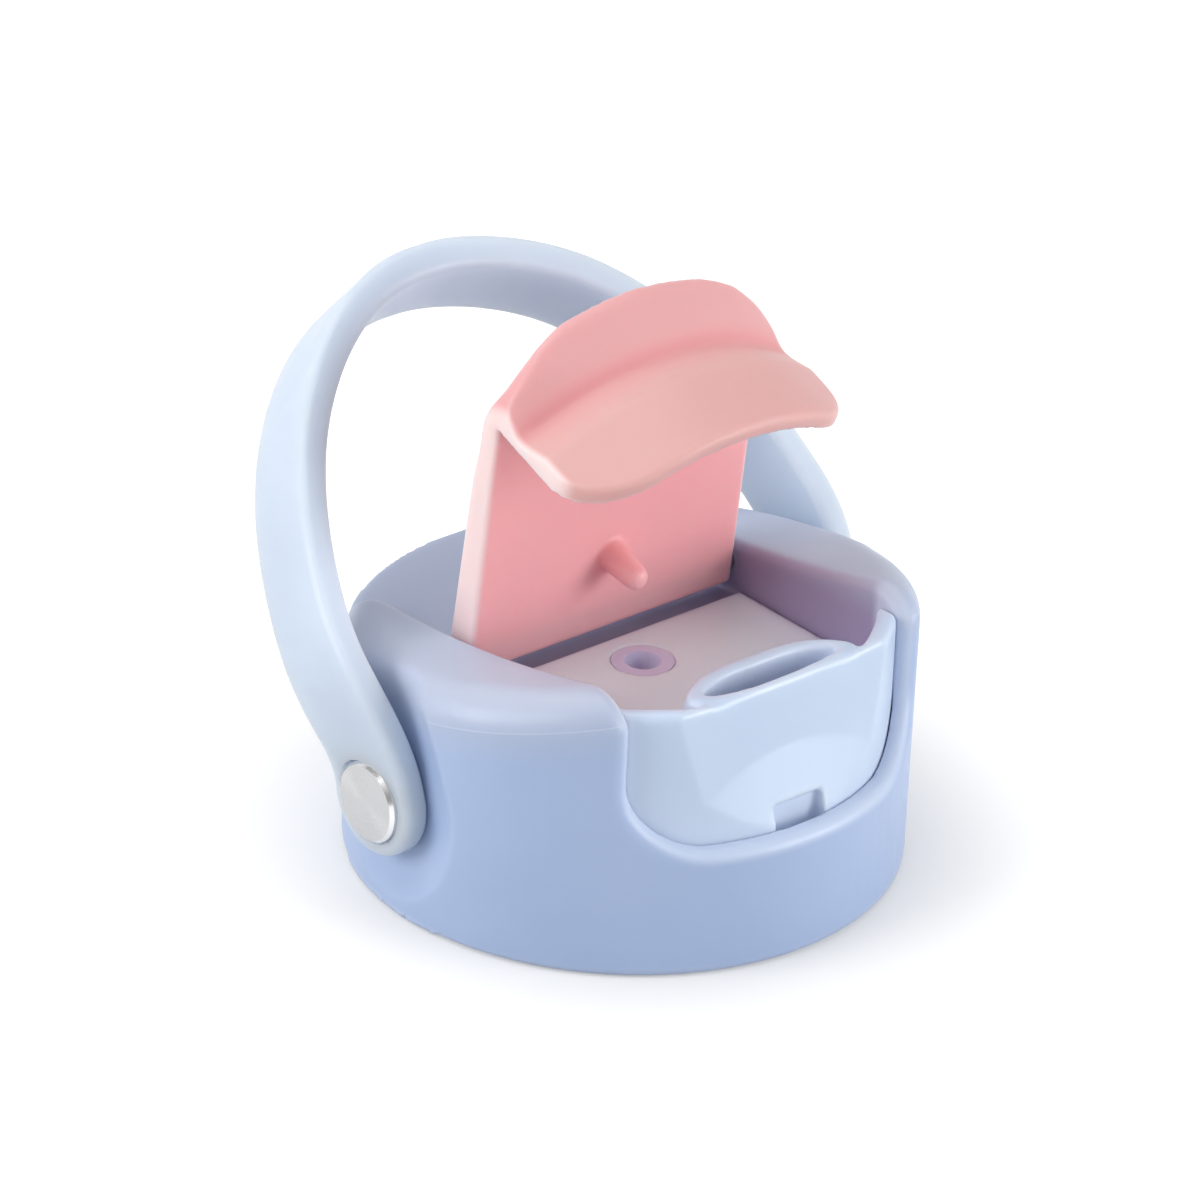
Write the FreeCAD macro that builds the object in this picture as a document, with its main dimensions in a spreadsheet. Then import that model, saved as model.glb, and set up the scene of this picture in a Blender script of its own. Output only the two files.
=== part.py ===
import FreeCAD, Part
import math
import os
import Sketcher

os.makedirs("parts", exist_ok=True)
doc = FreeCAD.newDocument("SipCap")
Vector = FreeCAD.Vector
Rotation = FreeCAD.Rotation
Placement = FreeCAD.Placement

# Sizes in mm and degrees. The cap axis is Z, the base rim is at zero, the spout faces minus Y.
VALUES = [
    ("shell_radius", 31.5, "outer radius of the shell at the base"),
    ("shell_draft", 0.25, "growth of the shell's radius towards the top"),
    ("shell_wall", 2.2, "thickness of the shell"),
    ("flat_depth", 3.9, "distance from the skin to the flats inside the shell"),
    ("block_spare", 2.0, "height of the shell's block above its top line"),
    ("base_round", 0.8, "rounding of the base rim"),
    ("shoulder_round", 4.2, "rounding of the shoulder"),
    ("rim_round", 1.5, "rounding of the rim round the window and the channel"),
    ("crown_radius", 148.0, "radius of the hollow top line in side view"),
    ("crown_y", 22.0, "place of the lowest point of the top line"),
    ("crown_z", 28.0, "height of the lowest point of the top line"),
    ("crown_roof", 2.4, "thickness of the roof over the cheeks"),
    ("channel_half", 19.5, "half width of the channel between the cheeks"),
    ("channel_wall", 2.2, "thickness of the channel walls"),
    ("deck_z", 24.8, "height of the rear deck"),
    ("deck_skin", 2.0, "thickness of the deck over its hollow"),
    ("slab_z", 20.3, "underside of the well and the deck"),
    ("well_skin", 2.0, "thickness of the hinge well's floor"),
    ("well_before", 2.4, "reach of the hinge well before the hinge axis"),
    ("well_behind", 4.7, "reach of the hinge well behind the hinge axis"),
    ("part_gap", 0.1, "gap between the liner and the shell"),
    ("window_z", 15.0, "lower edge of the front window"),
    ("window_corner", 8.0, "corner radius of the front window"),
    ("window_depth", 15.0, "how far from the axis the front window ends"),
    ("pivot_y", 4.3, "strap pivot, place along Y"),
    ("pivot_z", 13.4, "strap pivot, height"),
    ("dent_wall", 1.28, "thickness of the shell between the dent and the screw head"),
    ("dent_half", 6.7, "half width of the dent's flat floor"),
    ("dent_lean", 24.0, "lean of the dent, degrees"),
    ("dent_curve", 6.0, "radius of the hollow that rises from the dent's floor"),
    ("dent_rise", 3.2, "height of that hollow"),
    ("dent_length", 34.0, "length of the dent above the pivot"),
    ("hinge_y", 6.3, "cover hinge axis, place along Y"),
    ("hinge_z", 26.2, "cover hinge axis, height"),
    ("pin_radius", 1.0, "radius of the hinge pin"),
    ("pin_grip", 2.0, "length of the pin held in each channel wall"),
    ("pin_gap", 0.06, "running gap round the hinge pin"),
    ("floor_z", 23.1, "height of the drinking floor"),
    ("wall_thick", 2.3, "thickness of the front wall"),
    ("wall_z", 31.0, "height of the front wall and of the spout's rim"),
    ("wall_round", 1.0, "rounding of the front wall's upper edge"),
    ("bridge_half", 10.8, "half width of the bridge between the spout and the front wall"),
    ("bridge_thick", 4.2, "thickness of the front wall at that bridge"),
    ("bridge_drop", 0.35, "how far the bridge lies below the spout's rim"),
    ("neck_wall", 4.2, "thickness of the liner round the neck bore"),
    ("neck_z", 18.0, "ceiling of the neck bore"),
    ("scoop_radius_low", 73.0, "plan radius of the lower finger scoop"),
    ("scoop_radius_high", 206.0, "plan radius of the upper finger scoop"),
    ("scoop_lean_low", 17.0, "lean of the lower scoop, degrees"),
    ("scoop_lean_high", 7.0, "lean of the upper scoop, degrees"),
    ("scoop_foot_z", 14.8, "height where the scoop leaves the wall"),
    ("scoop_depth", 2.7, "depth of the scoop at its crease"),
    ("scoop_crease_z", 23.8, "height of the scoop's crease"),
    ("notch_half", 3.45, "half width of the latch notch"),
    ("notch_z", 17.4, "upper edge of the latch notch"),
    ("notch_depth", 1.7, "depth of the latch notch"),
    ("spout_inset", 8.6, "distance of the spout's middle from the shell's skin"),
    ("spout_half", 11.7, "half length of the spout's rim"),
    ("spout_rear", 4.3, "reach of the rim behind the spout's middle"),
    ("spout_front", 3.4, "reach of the rim before the spout's middle"),
    ("spout_belly", 0.2, "how far the spout's waist stands out at the rear"),
    ("spout_round", 0.9, "rounding of the spout's rim"),
    ("spout_foot_half", 12.6, "half length of the spout at the floor"),
    ("spout_foot_rear", 6.0, "reach of the spout's foot behind its middle"),
    ("mouth_half", 9.45, "half length of the spout's mouth"),
    ("mouth_rear", 2.0, "reach of the mouth behind the spout's middle"),
    ("mouth_front", 1.6, "reach of the mouth before the spout's middle"),
    ("duct_back", 4.3, "how far the duct's lower end lies behind the mouth"),
    ("duct_half", 8.0, "half length of the duct's lower end"),
    ("duct_reach", 2.6, "half width of the duct's lower end"),
    ("vent_y", -2.1, "vent valve, place along Y"),
    ("vent_radius", 3.55, "radius of the vent valve's disc"),
    ("vent_gap", 0.05, "gap round the vent valve's disc"),
    ("vent_disc", 0.9, "thickness of the vent valve's disc"),
    ("vent_sink", 0.12, "how far the disc lies below the floor"),
    ("vent_neck", 2.3, "radius of the valve's neck"),
    ("vent_barb", 3.1, "radius of the valve's lower flange"),
    ("vent_barb_height", 1.2, "height of the valve's lower flange"),
    ("vent_dimple", 2.1, "radius of the dimple at its mouth"),
    ("vent_dimple_low", 1.65, "radius of the dimple at its bottom"),
    ("vent_dimple_depth", 2.4, "depth of the dimple"),
    ("vent_hole", 0.75, "radius of the vent hole"),
    ("gasket_gap", 0.05, "gap round the neck gasket"),
    ("gasket_hold", 0.6, "depth of the gasket's groove in the neck wall"),
    ("gasket_reach", 2.8, "how far the gasket reaches in from the neck wall"),
    ("gasket_height", 1.8, "height of the neck gasket"),
    ("gasket_bead", 0.7, "width of the bead under the gasket"),
    ("gasket_room", 0.5, "height left under the gasket in its groove"),
    ("cover_gap", 0.44, "gap between the cover and the channel walls"),
    ("cover_lean", 6.0, "forward lean of the open cover, degrees"),
    ("cover_swing", 69.0, "swing that closes the cover, degrees"),
    ("plate_inner", 1.68, "distance of the inner face from the hinge axis"),
    ("plate_outer", 2.6, "distance of the outer face from the hinge axis"),
    ("plate_taper", 2.3, "taper of the outer face, degrees"),
    ("plate_heel", 2.24, "reach of the plate below the hinge axis"),
    ("plate_length", 44.0, "length of the plate before it is trimmed"),
    ("plate_inset", 0.7, "how far the plate ends behind the shell's skin"),
    ("heel_front_round", 0.7, "rounding of the heel at the inner face"),
    ("heel_rear_round", 2.2, "rounding of the heel at the outer face"),
    ("edge_round", 0.75, "rounding of the cover's edges"),
    ("tongue_gap", 0.4, "gap between the closed tongue and the liner"),
    ("tongue_lift", 0.3, "gap between the closed tongue and the window's lower edge"),
    ("tongue_straight", 24.5, "height where the tongue's groove starts"),
    ("groove_z", 29.0, "height of the groove's middle"),
    ("groove_depth", 0.8, "depth of the groove over the tongue"),
    ("eave_z", 35.5, "height of the eave's lower corner"),
    ("eave_reach", 0.6, "how far the eave stands out from the shell's skin"),
    ("eave_radius", 21.6, "radius of the eave's outline seen from above"),
    ("eave_mid", 21.7, "distance of that outline's middle from the shell's skin"),
    ("eave_mid_z", 36.0, "height where that distance is taken"),
    ("eave_lean", 30.0, "lean of the eave's ends, degrees"),
    ("eave_ends", 15.0, "distance from the axis behind which the outline is straight"),
    ("peg_height", 7.73, "height of the peg's foot above the hinge axis"),
    ("peg_tilt", 10.0, "tilt of the peg, degrees"),
    ("peg_length", 5.5, "length of the peg"),
    ("peg_foot", 1.95, "radius of the peg's foot"),
    ("peg_tip", 1.3, "radius of the peg's tip"),
    ("peg_round", 1.15, "rounding of the peg's tip"),
    ("peg_root", 0.6, "depth of the peg's root in the plate"),
    ("strap_width", 11.8, "width of the strap"),
    ("strap_thick", 3.3, "thickness of the strap at its eyes"),
    ("strap_corner", 1.0, "rounding of the strap's edges"),
    ("strap_gap", 0.05, "gap between the strap's eye and the dent"),
    ("eye_swell", 1.2, "how much wider the strap is at its eyes"),
    ("eye_gap", 0.06, "running gap between the eye and the rivet barrel"),
    ("eye_sink", 0.26, "gap round the rivet cap in its sink"),
    ("eye_sink_depth", 0.5, "depth of the sink for the rivet cap"),
    ("cap_radius", 4.69, "radius of the rivet cap"),
    ("cap_thick", 1.09, "thickness of the rivet cap"),
    ("cap_gap", 0.03, "gap between the rivet cap and the strap"),
    ("cap_bevel", 0.4, "bevel of the rivet cap"),
    ("barrel_radius", 2.5, "radius of the rivet barrel"),
    ("thread_radius", 1.25, "radius of the rivet screw's shank"),
    ("thread_roof", 0.56, "thickness left over the barrel's hole"),
    ("thread_room", 0.4, "room before the screw's tip"),
    ("head_radius", 3.7, "radius of the rivet screw's head"),
    ("head_height", 0.95, "height of the rivet screw's head"),
    ("head_gap", 0.05, "how far the screw head stays behind the shell's flat"),
    ("far", 60.0, "length of cutting tools that pass through everything"),
]


class Size:
    """A number kept together with the sheet formula it comes from."""

    def __init__(self, number, text):
        self.number = number
        self.text = text

    def join(self, other, sign, number):
        return Size(number, "(%s %s %s)" % (self.text, sign, as_size(other).text))

    def __add__(self, other):
        return self.join(other, "+", self.number + as_size(other).number)

    def __sub__(self, other):
        return self.join(other, "-", self.number - as_size(other).number)

    def __mul__(self, other):
        return self.join(other, "*", self.number * as_size(other).number)

    def __truediv__(self, other):
        return self.join(other, "/", self.number / as_size(other).number)

    def __neg__(self):
        return Size(-self.number, "(0 - %s)" % self.text)


def as_size(value):
    if isinstance(value, Size):
        return value
    return Size(float(value), repr(float(value)))


sheet = doc.addObject("Spreadsheet::Sheet", "sizes")
S = {}
for row, (word, number, note) in enumerate(VALUES, start=1):
    sheet.set("A%d" % row, word)
    sheet.set("B%d" % row, repr(number))
    sheet.set("C%d" % row, note)
    sheet.setAlias("B%d" % row, word)
    S[word] = Size(number, "sizes." + word)

# Strap stations from the eye to the middle: distance from the middle plane as a share of the
# eye's, place behind and above the pivot, turn of the width in degrees, added thickness and width.
STATIONS = [
    (1.0, 0.0, 0.0, 12.0, 0.0, 1.0),
    (1.0117, 0.7, 3.4, 14.0, 0.0, 0.9),
    (1.045, 2.2, 7.6, 27.0, 0.0, 0.6),
    (1.0719, 5.3, 11.9, 38.0, 0.0, 0.25),
    (1.0545, 10.3, 16.8, 43.0, 0.05, 0.0),
    (0.9943, 15.6, 22.2, 44.0, 0.1, 0.0),
    (0.9056, 20.5, 27.0, 44.0, 0.2, 0.0),
    (0.779, 25.2, 31.3, 44.5, 0.3, 0.0),
    (0.6206, 29.3, 35.0, 45.0, 0.45, 0.0),
    (0.4307, 32.9, 37.6, 46.0, 0.6, 0.0),
    (0.2217, 35.6, 39.0, 47.0, 0.75, 0.0),
    (0.0, 36.6, 39.4, 47.0, 0.8, 0.0),
]
STATION_WORDS = ("x", "y", "z", "turn", "thick", "swell")
letters = "abcdefghijkl"
first_row = len(VALUES) + 2
for number, station in enumerate(STATIONS):
    for column, word in enumerate(STATION_WORDS):
        cell = "%s%d" % ("BCDEFG"[column], first_row + number)
        alias = "strap_%s_%s" % (word, letters[number])
        sheet.set(cell, repr(station[column]))
        sheet.setAlias(cell, alias)
        S[alias] = Size(station[column], "sizes." + alias)

# Sizes that follow from others, so that what fits together stays together
S["shell_radius_top"] = S["shell_radius"] + S["shell_draft"]
crown_reach = S["shell_radius"] + S["crown_y"]
S["shell_block"] = (S["crown_z"] + crown_reach * crown_reach / (S["crown_radius"] * 2)
                    + S["block_spare"])
S["cavity_radius"] = S["shell_radius"] - S["shell_wall"]
S["cavity_flat"] = S["shell_radius"] - S["flat_depth"]
S["well_z"] = S["slab_z"] + S["well_skin"]
S["well_front"] = S["hinge_y"] - S["well_before"]
S["well_rear"] = S["hinge_y"] + S["well_behind"]
S["pin_half"] = S["channel_half"] + S["pin_grip"]
S["liner_radius"] = S["cavity_radius"] - S["part_gap"]
S["liner_flat"] = S["cavity_flat"] - S["part_gap"]
S["liner_top"] = S["slab_z"] - S["part_gap"]
S["floor_half"] = S["channel_half"] - S["part_gap"]
S["floor_rear"] = S["well_front"] - S["part_gap"]
S["wall_inner"] = S["liner_radius"] - S["wall_thick"]
S["neck_radius"] = S["liner_radius"] - S["neck_wall"]
S["gasket_groove"] = S["neck_radius"] + S["gasket_hold"]
S["gasket_outer"] = S["gasket_groove"] - S["gasket_gap"]
S["gasket_inner"] = S["neck_radius"] - S["gasket_reach"]
S["groove_foot"] = S["neck_z"] - S["gasket_height"] - S["gasket_room"]
S["spout_y"] = S["spout_inset"] - S["shell_radius"]
S["duct_y"] = S["spout_y"] + S["duct_back"]
S["cover_half"] = S["channel_half"] - S["cover_gap"]
S["plate_trim"] = S["shell_radius"] - S["plate_inset"]
S["tongue_inner"] = S["liner_radius"] + S["tongue_gap"]
S["tongue_foot"] = S["window_z"] + S["tongue_lift"]
S["tongue_corner"] = S["window_corner"] - S["cover_gap"]
S["groove_radius"] = S["shell_radius"] - S["groove_depth"]
S["eave_out"] = S["shell_radius"] + S["eave_reach"]
S["head_face"] = S["cavity_flat"] + S["head_gap"]
S["head_seat"] = S["head_face"] + S["head_height"]
S["dent_flat"] = S["head_seat"] + S["dent_wall"]
S["strap_inner"] = S["dent_flat"] + S["strap_gap"]
S["strap_middle"] = S["strap_inner"] + S["strap_thick"] / 2
S["strap_outer"] = S["strap_inner"] + S["strap_thick"]
S["eye_radius"] = (S["strap_width"] + S["eye_swell"]) / 2
S["cap_seat"] = S["strap_outer"] - S["eye_sink_depth"] + S["cap_gap"]
S["cap_face"] = S["cap_seat"] + S["cap_thick"]
S["thread_hole_end"] = S["cap_seat"] - S["thread_roof"]
S["thread_end"] = S["thread_hole_end"] - S["thread_room"]
doc.recompute()


def bind(thing, prop, value):
    value = as_size(value)
    thing.setExpression(prop, value.text)


def place(thing, base, rotation=None):
    thing.Placement = Placement(Vector(*[as_size(value).number for value in base]),
                                rotation or Rotation())
    for axis, value in zip("xyz", base):
        thing.setExpression(".Placement.Base." + axis, as_size(value).text)


def box(name, low, size):
    thing = doc.addObject("Part::Box", name)
    for prop, value in zip(("Length", "Width", "Height"), size):
        bind(thing, prop, value)
    place(thing, low)
    return thing


def rod(name, base, radius, height, rotation=None):
    thing = doc.addObject("Part::Cylinder", name)
    bind(thing, "Radius", radius)
    bind(thing, "Height", height)
    place(thing, base, rotation)
    return thing


def cone(name, base, radius, radius_top, height, rotation=None):
    thing = doc.addObject("Part::Cone", name)
    bind(thing, "Radius1", radius)
    bind(thing, "Radius2", radius_top)
    bind(thing, "Height", height)
    place(thing, base, rotation)
    return thing


def cut(name, base, tool):
    thing = doc.addObject("Part::Cut", name)
    thing.Base = base
    thing.Tool = tool
    thing.Refine = False
    doc.recompute()
    return thing


def fuse(name, shapes, refine=False):
    thing = doc.addObject("Part::MultiFuse", name)
    thing.Shapes = shapes
    thing.Refine = refine
    doc.recompute()
    return thing


def common(name, shapes):
    thing = doc.addObject("Part::MultiCommon", name)
    thing.Shapes = shapes
    thing.Refine = False
    doc.recompute()
    return thing


def fillet(name, base, rounds, pick):
    """Round the edges that pick accepts, each with the radius it returns."""
    doc.recompute()
    thing = doc.addObject("Part::Fillet", name)
    thing.Base = base
    chosen = []
    for number, edge in enumerate(base.Shape.Edges, start=1):
        key = pick(edge)
        if key:
            radius = S[rounds].number if isinstance(rounds, str) else rounds
            chosen.append((number, radius, radius))
    thing.Edges = chosen
    doc.recompute()
    return thing


def outline(name, points, rotation, base=(0, 0, 0)):
    """A closed sketch of straight lines whose corners follow the sheet."""
    sketch = doc.addObject("Sketcher::SketchObject", name)
    place(sketch, base, rotation)
    corners = [(as_size(a), as_size(b)) for a, b in points]
    count = len(corners)
    for number in range(count):
        start = corners[number]
        end = corners[(number + 1) % count]
        sketch.addGeometry(Part.LineSegment(Vector(start[0].number, start[1].number, 0),
                                            Vector(end[0].number, end[1].number, 0)), False)
    for number in range(count):
        sketch.addConstraint(Sketcher.Constraint("Coincident", number, 2, (number + 1) % count, 1))
    for number in range(count):
        for kind, value in zip(("DistanceX", "DistanceY"), corners[number]):
            index = sketch.addConstraint(
                Sketcher.Constraint(kind, -1, 1, number, 1, value.number))
            sketch.setExpression("Constraints[%d]" % index, value.text)
    doc.recompute()
    return sketch


def prism(name, sketch, length, back=0):
    thing = doc.addObject("Part::Extrusion", name)
    thing.Base = sketch
    thing.DirMode = "Normal"
    thing.Solid = True
    bind(thing, "LengthFwd", length)
    bind(thing, "LengthRev", back)
    doc.recompute()
    return thing


def turned(name, sketch, axis, base):
    thing = doc.addObject("Part::Revolution", name)
    thing.Source = sketch
    thing.Axis = axis
    thing.Base = base
    thing.Angle = 360
    thing.Solid = True
    doc.recompute()
    return thing


ALONG_X = Rotation(Vector(0, 1, 0), 90)
ALONG_X_BACK = Rotation(Vector(0, 1, 0), -90)
# Sketch planes: horizontal axis then vertical axis of the sketch.
SIDE_VIEW = Rotation(Vector(0, 1, 0), Vector(0, 0, 1), Vector(1, 0, 0), "XYZ")
FRONT_VIEW = Rotation(Vector(1, 0, 0), Vector(0, 0, 1), Vector(0, -1, 0), "XYZ")

# Shell block with hollow top line, rounded shoulder and base
far = S["far"]
block = cone("shell_block", (0, 0, 0), S["shell_radius"], S["shell_radius_top"], S["shell_block"])
crown = rod("crown_tool", (-far, S["crown_y"], S["crown_z"] + S["crown_radius"]),
            S["crown_radius"], far * 2, ALONG_X)
crowned = cut("shell_crowned", block, crown)


def is_block_rim(edge):
    box_ = edge.BoundBox
    return box_.XLength > S["shell_radius"].number * 1.9


def is_top_rim(edge):
    return is_block_rim(edge) and edge.BoundBox.ZMax > S["crown_z"].number - 2


def is_base_rim(edge):
    return is_block_rim(edge) and edge.BoundBox.ZMax < 1


shouldered = fillet("shell_shouldered", crowned, "shoulder_round", is_top_rim)
rounded = fillet("shell_rounded", shouldered, "base_round", is_base_rim)

# Front window with rounded lower corners, and the channel between the cheeks above the deck
half = S["channel_half"]
corner = S["window_corner"]
INTO_Y = Rotation(Vector(1, 0, 0), -90)
window_mid = box("window_middle", (-half, -far, S["window_z"] + corner),
                 (half * 2, far - S["window_depth"], far))
window_low = box("window_low", (-half + corner, -far, S["window_z"]),
                 (half * 2 - corner * 2, far - S["window_depth"], far))
window_left = rod("window_corner_left", (-half + corner, -far, S["window_z"] + corner),
                  corner, far - S["window_depth"], INTO_Y)
window_right = rod("window_corner_right", (half - corner, -far, S["window_z"] + corner),
                   corner, far - S["window_depth"], INTO_Y)
deck_cut = box("channel_deck", (-half, -far, S["deck_z"]), (half * 2, far * 2, far))
opening = fuse("shell_opening", [window_mid, window_low, window_left, window_right, deck_cut],
               True)
opened = cut("shell_opened", rounded, opening)


def is_rim(edge):
    """The edge all round the window and along the tops of the channel walls."""
    middle = edge.valueAt((edge.FirstParameter + edge.LastParameter) / 2)
    on_side = abs(abs(middle.x) - S["channel_half"].number) < 0.01
    on_skin = math.hypot(middle.x, middle.y) > S["shell_radius"].number - 0.5
    if on_side:
        return on_skin or middle.z > S["deck_z"].number + 0.5
    inside = abs(middle.x) < S["channel_half"].number and middle.y < 0
    return on_skin and inside and middle.z > S["window_z"].number - 0.5


rimmed = fillet("shell_rimmed", opened, "rim_round", is_rim)

# Below the deck: the floor in front that the liner fills, and a well for the hinge
front_box = box("channel_front", (-half, -far, S["slab_z"] - 1),
                (half * 2, far + S["well_front"], S["deck_z"] - S["slab_z"] + 2))
front_room = rod("channel_front_room", (0, 0, 0), S["cavity_radius"], far)
front_cut = common("channel_front_round", [front_box, front_room])
well_cut = box("channel_well", (-half, S["well_front"] - 1, S["well_z"]),
               (half * 2, S["well_rear"] - S["well_front"] + 1, S["deck_z"] - S["well_z"] + 1))
channel = fuse("channel_tool", [front_cut, well_cut])
channelled = cut("shell_channelled", rimmed, channel)

# Inside of the shell: round bore with two flats, hollows in the cheeks and under the deck
bore = rod("shell_bore", (0, 0, -1), S["cavity_radius"], S["slab_z"] + 1)
flats = box("shell_flats", (-S["cavity_flat"], -far, -2), (S["cavity_flat"] * 2, far * 2, far))
cavity = common("shell_cavity", [bore, flats])
cheek_x = half + S["channel_wall"]
cheek_ring = rod("cheek_ring", (0, 0, S["slab_z"] - 1), S["cavity_radius"], far)
cheek_slab = box("cheek_slab", (cheek_x, -far, 0), (S["cavity_flat"] - cheek_x, far * 2, far))
cheek_slab_left = box("cheek_slab_left", (-S["cavity_flat"], -far, 0),
                      (S["cavity_flat"] - cheek_x, far * 2, far))
cheek_slabs = fuse("cheek_slabs", [cheek_slab, cheek_slab_left])
roof = rod("cheek_roof", (-far, S["crown_y"], S["crown_z"] + S["crown_radius"]),
           S["crown_radius"] + S["crown_roof"], far * 2, ALONG_X)
cheek_room = common("cheek_room", [cheek_ring, cheek_slabs])
cheek_hollow = cut("cheek_hollow", cheek_room, roof)
deck_hollow = box("deck_hollow", (-half + S["channel_wall"], S["well_rear"] + S["deck_skin"], 0),
                  (half * 2 - S["channel_wall"] * 2,
                   S["cavity_radius"] - S["well_rear"] - S["deck_skin"] * 4,
                   S["deck_z"] - S["deck_skin"]))
inside = fuse("shell_inside", [cavity, cheek_hollow, deck_hollow])
hollowed = cut("shell_hollowed", channelled, inside)


# Dents for the strap on both sides, flat at the floor and flared to the skin
def dent(side, name):
    lean = math.radians(S["dent_lean"].number)
    sideways = Vector(side, 0, 0)
    upward = Vector(0, math.sin(lean), math.cos(lean))
    across = upward.cross(sideways)
    base = (S["dent_flat"] * side, S["pivot_y"], S["pivot_z"])
    flat = S["dent_half"].number
    curve = S["dent_curve"].number
    rise = S["dent_rise"].number
    sweep = math.acos(1 - rise / curve)
    reach = flat + curve * math.sin(sweep)
    low_angle = -math.pi / 2
    eye = doc.addObject("Sketcher::SketchObject", name + "_eye_profile")
    place(eye, base, Rotation(across, sideways, -upward, "XYZ"))
    arc = Part.ArcOfCircle(Part.Circle(Vector(flat, curve, 0), Vector(0, 0, 1), curve),
                           low_angle, low_angle + sweep)
    lines = [((0, 0), (flat, 0)), ((reach, rise), (0, rise)), ((0, rise), (0, 0))]
    eye.addGeometry([Part.LineSegment(Vector(*a, 0), Vector(*b, 0)) for a, b in lines] + [arc])
    doc.recompute()
    low = turned(name + "_eye", eye, sideways, Vector(*[value.number for value in base]))
    run = doc.addObject("Sketcher::SketchObject", name + "_run_profile")
    place(run, base, Rotation(across, sideways, -upward, "XYZ"))
    mirrored = Part.ArcOfCircle(Part.Circle(Vector(-flat, curve, 0), Vector(0, 0, 1), curve),
                                low_angle - sweep, low_angle)
    lines = [((-flat, 0), (flat, 0)), ((reach, rise), (-reach, rise))]
    run.addGeometry([Part.LineSegment(Vector(*a, 0), Vector(*b, 0)) for a, b in lines]
                    + [arc, mirrored])
    doc.recompute()
    return fuse(name, [low, prism(name + "_run", run, 0, S["dent_length"])], True)


dent_right = dent(1, "dent_right")
dent_left = dent(-1, "dent_left")
dented = cut("shell_dented_right", hollowed, dent_right)
dented = cut("shell_dented", dented, dent_left)

# Bores in the shell: hinge pin and strap rivets
pin_bore = rod("shell_pin_bore", (-S["pin_half"], S["hinge_y"], S["hinge_z"]),
               S["pin_radius"], S["pin_half"] * 2, ALONG_X)


def side_rods(name, low, high, radius):
    right = rod(name + "_right", (low, S["pivot_y"], S["pivot_z"]), radius, high - low, ALONG_X)
    left = rod(name + "_left", (-low, S["pivot_y"], S["pivot_z"]), radius, high - low, ALONG_X_BACK)
    return [right, left]


rivet_bores = side_rods("rivet_bore", S["cavity_flat"] - 1, S["shell_radius"],
                        S["barrel_radius"])
head_bores = side_rods("head_bore", S["cavity_flat"] - 1, S["head_seat"], S["head_radius"])
bores = fuse("shell_bores", [pin_bore] + rivet_bores + head_bores)
shell = cut("cap_shell", dented, bores)
shell.Label = "cap_shell"

# Liner: skirt with flats, raised floor, front wall with scoop, spout and notch
skirt = rod("liner_skirt", (0, 0, 0), S["liner_radius"], S["liner_top"])
liner_flats = box("liner_flats", (-S["liner_flat"], -far, 0), (S["liner_flat"] * 2, far * 2, far))
skirt_flat = common("liner_skirt_flat", [skirt, liner_flats])
step_round = rod("floor_round", (0, 0, S["liner_top"] - 1), S["liner_radius"],
                 S["floor_z"] - S["liner_top"] + 1)
step_box = box("floor_box", (-S["floor_half"], -far, 0),
               (S["floor_half"] * 2, far + S["floor_rear"], far))
step = common("liner_step", [step_round, step_box])
wall_ring = rod("wall_ring", (0, 0, S["liner_top"]), S["liner_radius"],
                S["wall_z"] - S["liner_top"])
wall_room = rod("wall_room", (0, 0, S["liner_top"] - 1), S["wall_inner"], far)
wall_full = cut("wall_full", wall_ring, wall_room)
wall_box = box("wall_box", (-S["floor_half"], -far, 0), (S["floor_half"] * 2, far, far))
wall = common("liner_wall", [wall_full, wall_box])
bridge_ring = rod("bridge_ring", (0, 0, S["liner_top"]), S["liner_radius"],
                  S["wall_z"] - S["bridge_drop"] - S["liner_top"])
bridge_room = rod("bridge_room", (0, 0, S["liner_top"] - 1),
                  S["liner_radius"] - S["bridge_thick"], far)
bridge_full = cut("bridge_full", bridge_ring, bridge_room)
bridge_box = box("bridge_box", (-S["bridge_half"], -far, 0), (S["bridge_half"] * 2, far, far))
bridge = common("spout_bridge", [bridge_full, bridge_box])


def is_wall_top(edge):
    low = edge.BoundBox
    return low.ZMin > S["wall_z"].number - 0.01 and low.XLength > S["floor_half"].number


wall_soft = fillet("liner_wall_soft", wall, "wall_round", is_wall_top)


def oval(name, z, middle, half_length, rear, front):
    """A closed smooth outline through eight points round the spout."""
    sketch = doc.addObject("Sketcher::SketchObject", name)
    place(sketch, (0, 0, z))
    middle = as_size(middle).number
    side = half_length.number
    back = rear.number
    fore = front.number
    bulge = 0.72
    points = [Vector(side, middle, 0), Vector(side * bulge, middle + back * bulge, 0),
              Vector(0, middle + back, 0), Vector(-side * bulge, middle + back * bulge, 0),
              Vector(-side, middle, 0), Vector(-side * bulge, middle - fore * bulge, 0),
              Vector(0, middle - fore, 0), Vector(side * bulge, middle - fore * bulge, 0)]
    curve = Part.BSplineCurve()
    curve.interpolate(points, PeriodicFlag=True)
    sketch.addGeometry(curve, False)
    doc.recompute()
    return sketch


def loft(name, sections):
    thing = doc.addObject("Part::Loft", name)
    thing.Sections = sections
    thing.Solid = True
    thing.Ruled = False
    thing.Closed = False
    doc.recompute()
    return thing


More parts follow.
